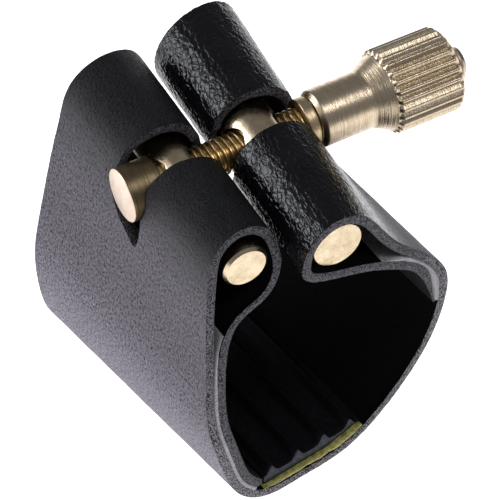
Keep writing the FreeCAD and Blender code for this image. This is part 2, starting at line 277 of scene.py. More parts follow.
def cracks(tree):
    """Polygonal cells with narrow cracks between them: 0 in the cracks, 1 on the cells."""
    texture = node(tree, "ShaderNodeTexVoronoi", feature="DISTANCE_TO_EDGE")
    texture.inputs["Scale"].default_value = 1.0
    link(tree, coordinates(tree, (0.52, 0.80, 1.0)), texture.inputs["Vector"])
    return ramp(tree, texture.outputs["Distance"], 0.0, 0.16)


def leather_grain():
    """Black grained leather: wet-looking on the right loop, duller on the walls, which are painted
    paler as a painted reflection of the white floor.

    Mesh attributes: "gloss" is 1 where the leather is polished, "black" where the grain shows its own
    black instead of the painted floor reflection.
    """
    material, tree = new_material("leather_grain")
    shader = surface(tree)
    gloss = attribute(tree, "gloss")
    black = attribute(tree, "black")
    fine = noise_texture(tree, (0.34, 0.24, 1.0), detail=3.0, roughness=0.65)
    pores = noise_texture(tree, (0.38, 0.32, 1.0), detail=1.0)
    broad = noise_texture(tree, (5.0, 4.0, 1.0), detail=3.0)
    # Painted reflection of the white floor: pale grey-violet with grain and dark pores, shown where
    # the grain is not black.
    painted_floor_reflection = blended(tree, ramp(tree, fine, 0.37, 0.61), (0.050, 0.043, 0.058), (0.420, 0.370, 0.460))
    painted_floor_reflection = blended(tree, ramp(tree, pores, 0.28, 0.40), (0.018, 0.016, 0.020), painted_floor_reflection)
    deep = blended(tree, ramp(tree, broad, 0.35, 0.65), (0.002, 0.002, 0.003), (0.005, 0.005, 0.007))
    link(tree, blended(tree, black, painted_floor_reflection, deep), shader.inputs["Base Color"])
    dull = ramp(tree, fine, 0.3, 0.7, 0.44, 0.60)
    wet = ramp(tree, fine, 0.3, 0.7, 0.10, 0.20)
    link(tree, mixed(tree, gloss, dull, wet), shader.inputs["Roughness"])
    shader.inputs["Specular IOR Level"].default_value = 0.28
    pits = bump(tree, mixed(tree, gloss, ramp(tree, pores, 0.26, 0.44), 0.5), 0.22)
    smoothed = ramp(tree, fine, 0.0, 1.0, 0.48, 0.52)
    grain = bump(tree, mixed(tree, gloss, fine, smoothed), 0.5, 1.0, pits)
    creased = bump(tree, mixed(tree, gloss, 0.0, cracks(tree)), 0.022, 1.0, grain)
    link(tree, creased, shader.inputs["Normal"])
    return material


def leather_flesh():
    """Inner side of the leather: dyed black, fibrous and matt."""
    material, tree = new_material("leather_flesh")
    shader = surface(tree)
    fibres = noise_texture(tree, (0.5, 0.18, 1.0), detail=5.0, roughness=0.65)
    color = blended(tree, ramp(tree, fibres, 0.35, 0.7), (0.001, 0.001, 0.0012), (0.006, 0.006, 0.007))
    link(tree, color, shader.inputs["Base Color"])
    shader.inputs["Roughness"].default_value = 0.9
    shader.inputs["Specular IOR Level"].default_value = 0.06
    link(tree, bump(tree, fibres, 0.08), shader.inputs["Normal"])
    return material


def leather_edge():
    """Cut edge: dyed, with pale fibres and black pores, darker where the grain is black."""
    material, tree = new_material("leather_edge")
    shader = surface(tree)
    black = attribute(tree, "black")
    fibres = noise_texture(tree, (0.11, 0.11, 0.11), detail=2.0, roughness=0.6, source="Object")
    pores = noise_texture(tree, (0.17, 0.17, 0.17), detail=1.0, source="Object")
    spread = ramp(tree, fibres, 0.36, 0.66)
    pale = blended(tree, spread, (0.085, 0.080, 0.088), (0.40, 0.375, 0.40))
    dyed = blended(tree, spread, (0.030, 0.028, 0.034), (0.200, 0.185, 0.210))
    color = blended(tree, ramp(tree, black, 0.2, 0.8), pale, dyed)
    color = blended(tree, ramp(tree, pores, 0.49, 0.56), color, (0.008, 0.007, 0.009))
    link(tree, color, shader.inputs["Base Color"])
    shader.inputs["Roughness"].default_value = 0.75
    shader.inputs["Specular IOR Level"].default_value = 0.3
    link(tree, bump(tree, pores, 0.08, 0.8, bump(tree, fibres, 0.06)), shader.inputs["Normal"])
    return material


def turned_brass(name, color, dark, roughness, line_depth):
    """Plated brass turned round the X axis of its object, with fine tool lines."""
    material, tree = new_material(name)
    shader = surface(tree)
    shader.inputs["Metallic"].default_value = 1.0
    lines = noise_texture(tree, (0.09, 6.0, 6.0), detail=3.0, roughness=0.6, source="Object")
    stains = noise_texture(tree, (0.8, 0.8, 0.8), detail=5.0, roughness=0.65, source="Object")
    tint = mixed(tree, ramp(tree, stains, 0.3, 0.7), ramp(tree, lines, 0.42, 0.62), 0.8)
    link(tree, blended(tree, tint, color, dark), shader.inputs["Base Color"])
    link(tree, ramp(tree, lines, 0.3, 0.7, roughness, roughness + 0.12), shader.inputs["Roughness"])
    grit = bump(tree, stains, 0.03, 0.5)
    link(tree, bump(tree, lines, line_depth, 1.0, grit), shader.inputs["Normal"])
    return material


def drawn_brass():
    """Plated brass bar with faint scratches, for the two rods."""
    material, tree = new_material("drawn_brass")
    shader = surface(tree)
    shader.inputs["Metallic"].default_value = 1.0
    scratches = noise_texture(tree, (0.15, 3.0, 0.15), detail=3.0, source="Object")
    stains = noise_texture(tree, (1.1, 1.1, 1.1), detail=6.0, roughness=0.7, source="Object")
    tint = ramp(tree, stains, 0.38, 0.72)
    color = blended(tree, tint, (0.70, 0.575, 0.40), (0.48, 0.36, 0.22))
    link(tree, color, shader.inputs["Base Color"])
    link(tree, ramp(tree, stains, 0.3, 0.7, 0.14, 0.30), shader.inputs["Roughness"])
    dents = bump(tree, stains, 0.05, 0.5)
    link(tree, bump(tree, scratches, 0.01, 0.6, dents), shader.inputs["Normal"])
    return material


def rubber(name, deep, dusty):
    """Rubber with a little dust, between a deep and a dusty colour."""
    material, tree = new_material(name)
    shader = surface(tree)
    dust = noise_texture(tree, (0.5, 0.5, 0.5), detail=5.0, roughness=0.65, source="Object")
    link(tree, blended(tree, ramp(tree, dust, 0.4, 0.75), deep, dusty), shader.inputs["Base Color"])
    shader.inputs["Roughness"].default_value = 0.8
    shader.inputs["Specular IOR Level"].default_value = 0.12
    link(tree, bump(tree, dust, 0.04), shader.inputs["Normal"])
    return material


def dried_glue(name, pale, deep, roughness, grain=0.9):
    """Dried glue, uneven in colour."""
    material, tree = new_material(name)
    shader = surface(tree)
    blotch = noise_texture(tree, (grain, grain, grain / 2), detail=4.0, roughness=0.6, source="Object")
    link(tree, blended(tree, ramp(tree, blotch, 0.35, 0.65), pale, deep), shader.inputs["Base Color"])
    shader.inputs["Roughness"].default_value = roughness
    link(tree, bump(tree, blotch, 0.08), shader.inputs["Normal"])
    return material


def white_floor():
    """White floor that glows, so that the object stands on plain white."""
    material, tree = new_material("white_floor")
    shader = surface(tree)
    shader.inputs["Base Color"].default_value = (0.9, 0.9, 0.9, 1)
    shader.inputs["Roughness"].default_value = 0.6
    shader.inputs["Emission Color"].default_value = (1, 1, 1, 1)
    shader.inputs["Emission Strength"].default_value = 1.0
    return material


GRAIN = leather_grain()
FLESH = leather_flesh()
EDGE = leather_edge()
NUT_BRASS = turned_brass("nut_brass", (0.76, 0.635, 0.475), (0.50, 0.39, 0.26), 0.22, 0.04)
STUB_BRASS = turned_brass("stub_brass", (0.74, 0.60, 0.49), (0.56, 0.44, 0.34), 0.34, 0.01)
# Side of the stud's head: brass painted dark brown as painted shade, beside its bright end face.
HEAD_SIDE_SHADED_BRASS = turned_brass("head_side_brass_painted_shade", (0.24, 0.185, 0.10), (0.12, 0.09, 0.05), 0.36, 0.01)
THREAD_BRASS = turned_brass("thread_brass", (0.68, 0.50, 0.25), (0.44, 0.30, 0.13), 0.24, 0.02)
WASHER_BRASS = turned_brass("washer_brass", (0.72, 0.57, 0.37), (0.46, 0.34, 0.19), 0.30, 0.03)
ROD_BRASS = drawn_brass()
# Two copies of one rubber: the pad's upper and lower sides near black, painted shade inside the strap;
# its cut ends lighter, cut rubber with painted light.
SHADED_RUBBER = rubber("pad_rubber", (0.003, 0.003, 0.004), (0.010, 0.010, 0.012))
CUT_LIT_RUBBER = rubber("pad_cut_rubber_painted_lit", (0.050, 0.052, 0.064), (0.095, 0.097, 0.112))
PAD_GLUE = dried_glue("pad_glue", (0.50, 0.47, 0.13), (0.17, 0.14, 0.02), 0.4, 0.7)
PLY_GLUE = dried_glue("ply_glue", (0.46, 0.44, 0.46), (0.22, 0.21, 0.23), 0.7, 0.3)
FLOOR = white_floor()


# -------- strap section

HALF = 16.2
LOW = -17.2
SCREW_Z = SCREW_ORIGIN[2]
LEATHER = 1.05
PLY_PITCH = 2.48

# Centre and half width of the left and right loops and their half height, at the
# strap's front edge and at its back edge.
FRONT_LOOPS = {"left": (-7.2, 4.2), "right": (1.98, 4.35), "height": 4.22}
BACK_LOOPS = {"left": (-3.9, 5.5), "right": (8.2, 5.5), "height": 5.08}

# Points of the strap's section at each edge. The left wall runs up from the bottom.
FRONT_LEFT_WALL = [(-7.6, -16.6), (-9.3, -15.4), (-10.9, -13.3), (-12.7, -8.0)]
FRONT_LEFT_WALL += [(-13.9, -2.1), (-13.75, 2.2), (-13.2, 5.5), (-12.45, 11.0)]
BACK_LEFT_WALL = [(-8.4, -16.65), (-10.6, -15.4), (-12.4, -13.2), (-13.8, -8.0)]
BACK_LEFT_WALL += [(-14.0, -2.3), (-13.3, 2.0), (-12.4, 5.5), (-11.0, 11.0)]
FRONT_FOLD = [(-8.5, 10.1), (-4.6, 11.6), (-3.0, 14.0)]
BACK_FOLD = [(-5.0, 9.8), (0.0, 11.4), (1.6, 13.9)]
BOTTOM = [(-5.2, LOW), (-2.9, LOW), (-0.6, LOW), (1.6, LOW), (3.9, -16.84), (6.1, -15.92)]
RIGHT_WALL = [(8.4, -14.28), (11.2, -11.6), (13.6, -8.6), (15.5, -5.2), (16.7, -1.1)]
RIGHT_WALL += [(16.85, 2.3), (15.75, 5.3)]
FRONT_SLOPE = [(13.3, 8.5), (9.8, 12.4), (7.0, 16.9)]
BACK_SLOPE = [(14.4, 8.7), (14.4, 12.5), (13.75, 16.5)]
FRONT_FLAP = [(-2.05, 14.6), (0.0, 13.0), (5.5, 10.7)]
BACK_FLAP = [(3.5, 13.8), (5.5, 12.1), (8.6, 10.6)]
FLAP_END = [(10.3, 7.8), (12.45, 5.75), (13.6, 3.6), (14.45, 1.3), (14.95, -0.5)]


def ring(loops, side, angles):
    """Points round a loop, by their angles in degrees."""
    x, half_width = loops[side]
    turns = np.radians(angles)
    height = loops["height"]
    return [(x + half_width * math.cos(t), SCREW_Z + height * math.sin(t)) for t in turns]


def lining(outer, distance):
    """Points beside the inner points of an outline, on the right as it is walked."""
    outer = np.array(outer)
    ahead = outer[2:] - outer[:-2]
    ahead /= np.linalg.norm(ahead, axis=1, keepdims=True)
    right = np.stack([ahead[:, 1], -ahead[:, 0]], axis=-1)
    return (outer[1:-1] + distance * right).tolist()


def strap_path(loops, left_wall, left_fold, slope, flap):
    """Grain side of the strap in one edge plane, from the end of the left inner ply,
    over the left loop, round the bottom and over the right loop, to the end of the flap."""
    path = lining(left_wall, PLY_PITCH) + left_fold + ring(loops, "left", (0, 45, 90, 135, 180))
    path += left_wall[::-1] + BOTTOM + RIGHT_WALL + slope
    path += ring(loops, "right", (45, 90, 135, 180)) + flap + FLAP_END
    return np.array(path)


FRONT_PATH = strap_path(FRONT_LOOPS, FRONT_LEFT_WALL, FRONT_FOLD, FRONT_SLOPE, FRONT_FLAP)
BACK_PATH = strap_path(BACK_LOOPS, BACK_LEFT_WALL, BACK_FOLD, BACK_SLOPE, BACK_FLAP)
MIDDLE_PATH = (FRONT_PATH + BACK_PATH) / 2
KNOTS = np.concatenate([[0], np.cumsum(np.hypot(*np.diff(MIDDLE_PATH, axis=0).T))])

# Numbers of points of strap_path: tops and ends of the loops, foot of the left wall,
# bend of the joint and widest point.
LEFT_CREST = 11
LEFT_LOOP = (6, 14)
LEFT_FOOT = 20
FLEX = 28
WIDEST = 32
RIGHT_CREST = 39
RIGHT_LOOP = (36, 44)


def stations():
    """Distances along the strap of the mesh columns, closest together on the loops."""
    fine, coarse, fade = 0.13, 0.30, 6.0
    at = [0.0]
    while at[-1] < KNOTS[-1]:
        away = min(
            max(KNOTS[a] - at[-1], at[-1] - KNOTS[b], 0.0) for a, b in (LEFT_LOOP, RIGHT_LOOP)
        )
        at.append(at[-1] + fine + (coarse - fine) * min(away / fade, 1.0))
    return np.array(at[:-1]) * KNOTS[-1] / at[-2]


ALONG = stations()
FRONT_CURVE = curve_through(FRONT_PATH, KNOTS, ALONG)
BACK_CURVE = curve_through(BACK_PATH, KNOTS, ALONG)


def strap_place(column, y):
    """X and Z of the grain side at a column and a depth y, and the outward direction."""
    share = ((y + HALF) / (2 * HALF))[..., None]
    place = FRONT_CURVE[column] * (1 - share) + BACK_CURVE[column] * share
    ahead = np.clip(column + 1, 0, len(ALONG) - 1)
    back = np.clip(column - 1, 0, len(ALONG) - 1)
    step = (FRONT_CURVE[ahead] - FRONT_CURVE[back]) * (1 - share)
    step = step + (BACK_CURVE[ahead] - BACK_CURVE[back]) * share
    step = step / np.linalg.norm(step, axis=-1, keepdims=True)
    outward = np.stack([step[..., 1], -step[..., 0]], axis=-1)
    return place, outward


def outline_at(y):
    """X and Z of the grain side at a depth y, for every column."""
    place, _ = strap_place(np.arange(len(ALONG)), np.full(len(ALONG), y))
    return place


# -------- strap edges and slots

# The front edge of the left side leans back above SLANT_FROM. Both edges wander a little.
SLANT = 0.19
SLANT_FROM = -4.0
WANDER = 0.12
WANDER_LENGTH = 9

# Screw slots: lens-shaped between two heights about the screw axis, and at least as wide
# as a round hole with the given radius.
SLOT_HALF_WIDTH = 2.6
SLOT_HEIGHTS = {"outside": (-7.0, 13.0), "inside": (-4.8, 13.0)}
STUD_CLEARANCE = 2.8
HEAD_CLEARANCE = 3.1
NUT_CLEARANCE = 3.75

# Lower end of the left loop's outer slot: height above the screw axis, middle of the slot
# beside the axis, half width. Its tip leans to the front.
SLOT_TIP = [(-4.95, -2.55, 0.0), (-4.82, -2.5, 0.42), (-4.4, -2.15, 0.9)]
SLOT_TIP += [(-3.6, -1.3, 1.8), (-2.4, -0.5, 2.5), (-1.2, 0.0, 2.7)]
TIP_FADE = 4.0


def lens_reach(height, low, high):
    """Half width of a lens-shaped slot at heights above the screw axis."""
    half = (high - low) / 2
    radius = (half ** 2 + SLOT_HALF_WIDTH ** 2) / (2 * SLOT_HALF_WIDTH)
    off = np.clip(height - (low + high) / 2, -half, half)
    return np.sqrt(radius ** 2 - off ** 2) - (radius - SLOT_HALF_WIDTH)


def hole_reach(height, clearance):
    """Half width of a round hole about the screw at heights above its axis."""
    return np.sqrt(np.clip(clearance ** 2 - height ** 2, 0, None))


def tip_reach(height):
    """Reach of the left loop's outer slot to the front and to the back, near its tip.

    Below the tip both stay on the tip's side and fade to the axis, so that the mesh rows
    run on smoothly where the strap is whole.
    """
    tip_height, tip_middle, tip_half = np.array(SLOT_TIP).T
    fade = 1 - smooth_step(tip_height[0] - height, 0, TIP_FADE)
    middle = np.interp(height, tip_height, tip_middle) * fade
    half = np.interp(height, tip_height, tip_half)
    hole = hole_reach(height, HEAD_CLEARANCE)
    beside_hole = (half > 0) & (hole > 0)
    front = np.where(beside_hole, np.maximum(half - middle, hole), half - middle)
    back = np.where(beside_hole, np.maximum(half + middle, hole), half + middle)
    return front, back


def slot_reach(height, side, clearance):
    """Half width of a screw slot on the outside or inside of a loop."""
    lens = lens_reach(height, *SLOT_HEIGHTS[side])
    return np.maximum(lens, hole_reach(height, clearance))


def slot_sides():
    """Reach of the screw slot from the screw axis to the front and to the back, by column.

    Where the strap is whole the two add up to nothing.
    """
    height = outline_at(SCREW_ORIGIN[1])[:, 1] - SCREW_Z
    inner = slot_reach(height, "inside", STUD_CLEARANCE)
    reach = np.zeros(len(ALONG))
    for (first, last), crest, outside_is_after, clearance in (
        (LEFT_LOOP, LEFT_CREST, True, HEAD_CLEARANCE),
        (RIGHT_LOOP, RIGHT_CREST, False, NUT_CLEARANCE),
    ):
        on_loop = (ALONG > KNOTS[first - 1]) & (ALONG < KNOTS[last + 2])
        on_outside = (ALONG > KNOTS[crest]) == outside_is_after
        outer = slot_reach(height, "outside", clearance)
        reach = np.where(on_loop, np.where(on_outside, outer, inner), reach)
    left_outside = (ALONG > KNOTS[LEFT_CREST]) & (ALONG < KNOTS[LEFT_LOOP[1] + 2])
    on_tip = left_outside & (height < SLOT_TIP[-1][0])
    tip_front, tip_back = tip_reach(height)
    return np.where(on_tip, tip_front, reach), np.where(on_tip, tip_back, reach)


SLOT_FRONT, SLOT_BACK = slot_sides()
WHOLE = SLOT_FRONT + SLOT_BACK < 1e-6


def along_noise(along, scale, seed, depth=1):
    """Noise that changes only along the strap."""
    nothing = np.zeros_like(along)
    return field(np.stack([along, nothing, nothing], axis=-1), (scale,) * 3, seed, depth)


def edge_levels():
    """Depths y of the front edge, the two sides of the slot and the back edge."""
    above = np.clip(outline_at(-HALF)[:, 1] - SLANT_FROM, 0, None)
    front = -HALF + np.where(ALONG < KNOTS[FLEX], SLANT * above, 0.0)
    front = front + WANDER * along_noise(ALONG, WANDER_LENGTH, 1)
    beside = outline_at(SCREW_ORIGIN[1])[:, 0] - SCREW_ORIGIN[0]
    line = SCREW_ORIGIN[1] + math.tan(SCREW_TURN) * beside
    slot_low = line - SLOT_FRONT / math.cos(SCREW_TURN)
    slot_high = line + SLOT_BACK / math.cos(SCREW_TURN)
    back = HALF + WANDER * along_noise(ALONG, WANDER_LENGTH, 2)
    return front, slot_low, slot_high, back


# Where the loops' look starts and ends, from their first and last points.
LOOP_STARTS = (-4, 2)
LOOP_ENDS = (-1, 7)


def loop_share(along):
    """1 on the two loops, 0 on the walls."""
    share = np.zeros_like(along)
    for first, last in (LEFT_LOOP, RIGHT_LOOP):
        rise = smooth_step(along, KNOTS[first] + LOOP_STARTS[0], KNOTS[first] + LOOP_STARTS[1])
        fall = smooth_step(along, KNOTS[last] + LOOP_ENDS[0], KNOTS[last] + LOOP_ENDS[1])
        share = np.maximum(share, rise * (1 - fall))
    return share


# Sizes of the relief along and across the strap, its heights on the walls, and what
# both loops and the right loop add to them.
PEBBLE_SIZE = (0.50, 0.80, 1.0)
PEBBLE_HEIGHT, PEBBLE_RIGHT = 0.004, 0.052
CREASE_SIZE = (0.55, 3.2, 1.0)
CREASE_HEIGHT, CREASE_LOOPS, CREASE_RIGHT = 0.010, 0.012, 0.020
WAVE_SIZE = (1.8, 3.5, 1.0)
WAVE_HEIGHT = 0.03


def relief(column, y):
    """Height of the grain side's wrinkles and pebbles above its smooth shape."""
    along = ALONG[column]
    flat = np.stack([along, y, np.zeros_like(y)], axis=-1)
    on_loop = loop_share(along)
    right = smooth_step(along, KNOTS[WIDEST], KNOTS[RIGHT_LOOP[0]]) * on_loop
    small = pebbles(flat, PEBBLE_SIZE, 3)
    creases = field(flat, CREASE_SIZE, 5, depth=2)
    waves = field(flat, WAVE_SIZE, 6, depth=2)
    pebble_height = PEBBLE_HEIGHT + PEBBLE_RIGHT * right
    crease_height = CREASE_HEIGHT + CREASE_LOOPS * on_loop + CREASE_RIGHT * right
    return pebble_height * small + crease_height * creases + WAVE_HEIGHT * waves


PARED_LENGTH = 6.0
PARED_TO = 0.25


def leather_thickness(column):
    """Thickness of the leather, pared thin at the end of the flap."""
    full = smooth_step(KNOTS[-1] - ALONG[column], 0.0, PARED_LENGTH)
    return LEATHER * (PARED_TO + (1 - PARED_TO) * full)


EDGE_ROUND = 0.16
EDGE_ROUGH = 0.05
EDGE_LUMP = 0.35
EDGE_ROWS = 6
GRAIN_SLOT, FLESH_SLOT, EDGE_SLOT = 0, 1, 2


def strap_points(column, y, depth):
    """Points on the grain side, where depth is 0, or on the flesh side, where it is 1."""
    place, outward = strap_place(column, y)
    rise = relief(column, y) * (1 - depth) - depth * leather_thickness(column)
    place = place + outward * rise[..., None]
    return np.stack([place[..., 0], y, place[..., 1]], axis=-1)


def strap_sheet(net, columns, rows_y, depth, slot, known=None):
    """One side of the strap over a range of columns. Rows run from front to back.

    `known` names the columns and the row whose points another sheet already has.
    """
    column = np.repeat(columns[:, None], rows_y.shape[1], axis=1)
    points = strap_points(column, rows_y, np.full(rows_y.shape, depth))
    uvs = np.stack([ALONG[column] * MM, rows_y * MM], axis=-1)
    numbers = net.add(points, uvs)
    if known is not None:
        same, row, other = known
        numbers[same, row] = other[same]
    net.skin(numbers if slot == GRAIN_SLOT else numbers[:, ::-1], slot)
    return numbers


def strap_wall(net, columns, y, grain, flesh, outward_y, flip):
    """Cut edge between a row of grain points and a row of flesh points."""
    depths = np.linspace(0, 1, EDGE_ROWS + 2)[1:-1]
    column = np.repeat(columns[:, None], len(depths), axis=1)
    level = np.repeat(y[:, None], len(depths), axis=1)
    depth = np.repeat(depths[None, :], len(columns), axis=0)
    swell = EDGE_ROUND * (1 - np.abs(2 * depth - 1) ** 3)
    place, outward = strap_place(column, level)
    place = place - outward * (depth * leather_thickness(column))[..., None]
    points = np.stack([place[..., 0], level, place[..., 1]], axis=-1)
    rough = EDGE_ROUGH * field(points, (EDGE_LUMP,) * 3, 7, depth=3)
    points[..., 1] += outward_y * (swell + rough)
    uvs = np.stack([ALONG[column] * MM, depth * MM], axis=-1)
    middle = net.add(points, uvs)
    numbers = np.concatenate([grain[:, None], middle, flesh[:, None]], axis=1)
    net.skin(numbers[:, ::-1] if flip else numbers, EDGE_SLOT)


def rows_between(low, high, count):
    """Rows of levels from low to high, for each column."""
    share = np.linspace(0, 1, count)[None, :]
    return low[:, None] * (1 - share) + high[:, None] * share


GRAIN_ROWS = 132
FLESH_ROWS = 18


def strap_mesh():
    """The whole strap as one net of grain side, flesh side, edges and slot walls."""
    net = Net()
    columns = np.arange(len(ALONG))
    front, slot_low, slot_high, back = edge_levels()
    sides = {}
    for name, depth, rows, slot in (
        ("grain", 0.0, GRAIN_ROWS, GRAIN_SLOT),
        ("flesh", 1.0, FLESH_ROWS, FLESH_SLOT),
    ):
        near = strap_sheet(net, columns, rows_between(front, slot_low, rows), depth, slot)
        merged = (WHOLE, 0, near[:, -1])
        far = strap_sheet(net, columns, rows_between(slot_high, back, rows), depth, slot, merged)
        sides[name] = (near, far)
    grain, flesh = sides["grain"], sides["flesh"]
    strap_wall(net, columns, front, grain[0][:, 0], flesh[0][:, 0], -1, False)
    strap_wall(net, columns, back, grain[1][:, -1], flesh[1][:, -1], 1, True)
    edges = np.flatnonzero(np.diff(WHOLE.astype(int)))
    for start, end in zip(edges[::2], edges[1::2]):
        here = columns[start:end + 2]
        strap_wall(net, here, slot_low[here], grain[0][here, -1], flesh[0][here, -1], 1, True)
        strap_wall(net, here, slot_high[here], grain[1][here, 0], flesh[1][here, 0], -1, False)
    for column, flip in ((0, False), (len(ALONG) - 1, True)):
        end_cap(net, column, grain, flesh, flip)
    return net


def end_cap(net, column, grain, flesh, flip):
    """Close the strap's end between its grain and flesh rows."""
    for side in (0, 1):
        upper, lower = grain[side][column], flesh[side][column]
        pick = np.round(np.linspace(0, len(upper) - 1, len(lower))).astype(int)
        for i in range(len(lower) - 1):
            run = upper[pick[i]:pick[i + 1] + 1].tolist()
            face = run + [int(lower[i + 1]), int(lower[i])]
            net.faces.append(face[::-1] if flip else face)
            net.slots.append(EDGE_SLOT)


def share_of_point(obj, name, values):
    """Store one number for each point of a mesh, for its material to read."""
    layer = obj.data.attributes.new(name, "FLOAT", "POINT")
    layer.data.foreach_set("value", values.astype(np.float32))


LEFT_POLISH = 0.15
# Black left at the top of the left wall; below it the painted floor reflection shows.
WALL_BLACK = 0.6


def polish(along):
    """How polished the grain is: fully on the right loop, hardly on the left one."""
    right = smooth_step(along, KNOTS[WIDEST], KNOTS[RIGHT_LOOP[0]])
    return loop_share(along) * (LEFT_POLISH + (1 - LEFT_POLISH) * right)


def black_over_painted_reflection(along):
    """How black the grain is over its painted floor reflection: fully on the left inner ply and on the
    right loop, fading down the left wall to nothing round the bottom, so that the wall is painted
    lighter towards the bottom."""
    wall = smooth_step(along, KNOTS[LEFT_CREST + 1] - 1, KNOTS[LEFT_LOOP[1]])
    right = smooth_step(along, KNOTS[WIDEST], KNOTS[RIGHT_LOOP[0]] + 2)
    fade = 1 - smooth_step(along, KNOTS[LEFT_LOOP[1]], KNOTS[LEFT_FOOT])
    return np.maximum(1 - wall + WALL_BLACK * fade * wall, right)


def part_of(net, kept):
    """Net of the kept faces, and the numbers that its points had before."""
    faces = [face for face, keep in zip(net.faces, kept) if keep]
    used = sorted({point for face in faces for point in face})
    number = {point: i for i, point in enumerate(used)}
    part = Net()
    part.add(np.concatenate(net.points)[used], np.concatenate(net.uvs)[used])
    part.faces = [[number[point] for point in face] for face in faces]
    part.slots = [slot for slot, keep in zip(net.slots, kept) if keep]
    return part, used


def leather_strap():
    """Strap as two pieces that meet at the right wall's widest line.

    Both pieces take the normals of the whole strap, so that no seam shows between them.
    """
    materials = [GRAIN, FLESH, EDGE]
    net = strap_mesh()
    whole = net.build("strap", materials)
    normals = np.array([point.normal for point in whole.data.vertices])
    bpy.data.objects.remove(whole)
    along = np.concatenate([uvs[:, 0] for uvs in net.uvs]) / MM
    on_right = [sum(along[face]) / len(face) > KNOTS[WIDEST] for face in net.faces]
    on_left = [not right for right in on_right]
    made = []
    for name, kept in (("leather_left", on_left), ("leather_right", on_right)):
        part, used = part_of(net, kept)
        obj = part.build(name, materials)
        obj.data.normals_split_custom_set_from_vertices(normals[used].tolist())
        share_of_point(obj, "gloss", polish(along[used]))
        share_of_point(obj, "black", black_over_painted_reflection(along[used]))
        made.append(obj)
    return made


left_leather, right_leather = leather_strap()
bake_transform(left_leather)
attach(right_leather, "strap_right")
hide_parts("leather_band_left")
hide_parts("leather_band_right")


# -------- turned brass parts

TURNED_SIDES = 72


def resample(outline, step):
    """Points along a polyline (x, radius), no further apart than step."""
    result = [outline[0]]
    for (x0, r0), (x1, r1) in zip(outline, outline[1:]):
        count = max(1, math.ceil(math.hypot(x1 - x0, r1 - r0) / step))
        result += [
            (x0 + (x1 - x0) * i / count, r0 + (r1 - r0) * i / count) for i in range(1, count + 1)
        ]
    return np.array(result)


def turned(name, outline, sides, material, shape=None):
    """Surface turned round the X axis from an outline of (x, radius) points.

    `shape` may change the radius by x, radius and angle.
    """
    net = Net()
    x, radius = np.array(outline, float).T
    angle = np.linspace(0, 2 * math.pi, sides, endpoint=False)
    x = np.repeat(x[:, None], sides, axis=1)
    radius = np.repeat(radius[:, None], sides, axis=1)
    turn = np.repeat(angle[None, :], len(outline), axis=0)
    if shape is not None:
        radius = shape(x, radius, turn)
    points = np.stack([x, radius * np.cos(turn), radius * np.sin(turn)], axis=-1)
    uvs = np.stack([x * MM, turn], axis=-1)
    numbers = net.add(points, uvs)
    net.skin(np.concatenate([numbers, numbers[:, :1]], axis=1))
    obj = net.build(name, [material])
    obj.matrix_world = SCREW_MATRIX
    return obj


ROUNDS_PER_EDGE = 2.2


def softened(corners, bevel):
    """Outline with a small round at each corner between its two ends.

    A short edge has room for ROUNDS_PER_EDGE rounds, so two rounds never meet.
    """
    result = [corners[0]]
    for before, corner, after in zip(corners, corners[1:], corners[2:]):
        before, corner, after = (np.array(p, float) for p in (before, corner, after))
        reach_in = min(bevel, np.linalg.norm(corner - before) / ROUNDS_PER_EDGE)
        reach_out = min(bevel, np.linalg.norm(after - corner) / ROUNDS_PER_EDGE)
        start = corner + (before - corner) / np.linalg.norm(before - corner) * reach_in
        end = corner + (after - corner) / np.linalg.norm(after - corner) * reach_out
        for t in (0.0, 0.33, 0.67, 1.0):
            result.append(tuple((1 - t) ** 2 * start + 2 * t * (1 - t) * corner + t * t * end))
    result.append(corners[-1])
    return result


PITCH = 0.7
THREAD_DEPTH = 0.43
THREAD_SLOPE = 3.4
THREAD_ROOT = 1.25
THREAD_RUN_IN = (0.6, 1.2)
ROWS_PER_PITCH = 14
STUD_RADIUS = 2.0
STUD_END = 28.9
STUD_CHAMFER = 0.4
STUB_FACE = 1.5
STUD_HEAD = -11.1
STUD_HEAD_RADIUS = 2.95
SEAT = -7.26
STUB_SLOT, HEAD_SLOT = 1, 2


def thread(x, radius, turn):
    """Right-hand thread from the head's seat to the end of the stud."""
    phase = (x / PITCH - turn / (2 * math.pi)) % 1.0
    groove = np.clip(THREAD_ROOT - np.abs(phase - 0.5) * THREAD_SLOPE, 0, 1)
    groove = groove * groove * (3 - 2 * groove)
    run_in = smooth_step(x, SEAT + THREAD_RUN_IN[0], SEAT + THREAD_RUN_IN[1])
    cut = np.minimum(THREAD_DEPTH, np.clip(radius - STUB_FACE, 0, None)) * groove
    return radius - cut * run_in


def stud():
    """Threaded stud with its plain round head on the left."""
    head = [(STUD_HEAD, 0.0), (STUD_HEAD, STUD_HEAD_RADIUS)]
    head += [(SEAT, STUD_HEAD_RADIUS), (SEAT, STUD_RADIUS)]
    outline = softened(head, bevel=0.22)
    thread_end = STUD_END - STUD_CHAMFER
    rows = np.arange(SEAT + 0.1, thread_end - 0.02, PITCH / ROWS_PER_PITCH)
    outline += [(x, STUD_RADIUS) for x in rows]
    outline += [(thread_end, STUD_RADIUS), (STUD_END - 0.05, STUB_FACE + 0.12)]
    outline += [(STUD_END, STUB_FACE), (STUD_END, 0.0)]
    obj = turned("stud_screw", outline, TURNED_SIDES, THREAD_BRASS, thread)
    for material in (STUB_BRASS, HEAD_SIDE_SHADED_BRASS):
        obj.data.materials.append(material)
    # The head's end face and the stud's far end take the bright brass; the head's side takes the dark
    # brass, painted shade.
    for face in obj.data.polygons:
        x = face.center.x / MM
        if x > HEAD_END or x < STUD_HEAD + 0.15:
            face.material_index = STUB_SLOT
        elif x < SEAT:
            face.material_index = HEAD_SLOT
    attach(obj, "strap_left")
    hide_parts("threaded_stud")


BORE = STUD_RADIUS + 0.06
WASHER_START, WASHER_END = 9.6, 10.8
WASHER_RADIUS = 2.75


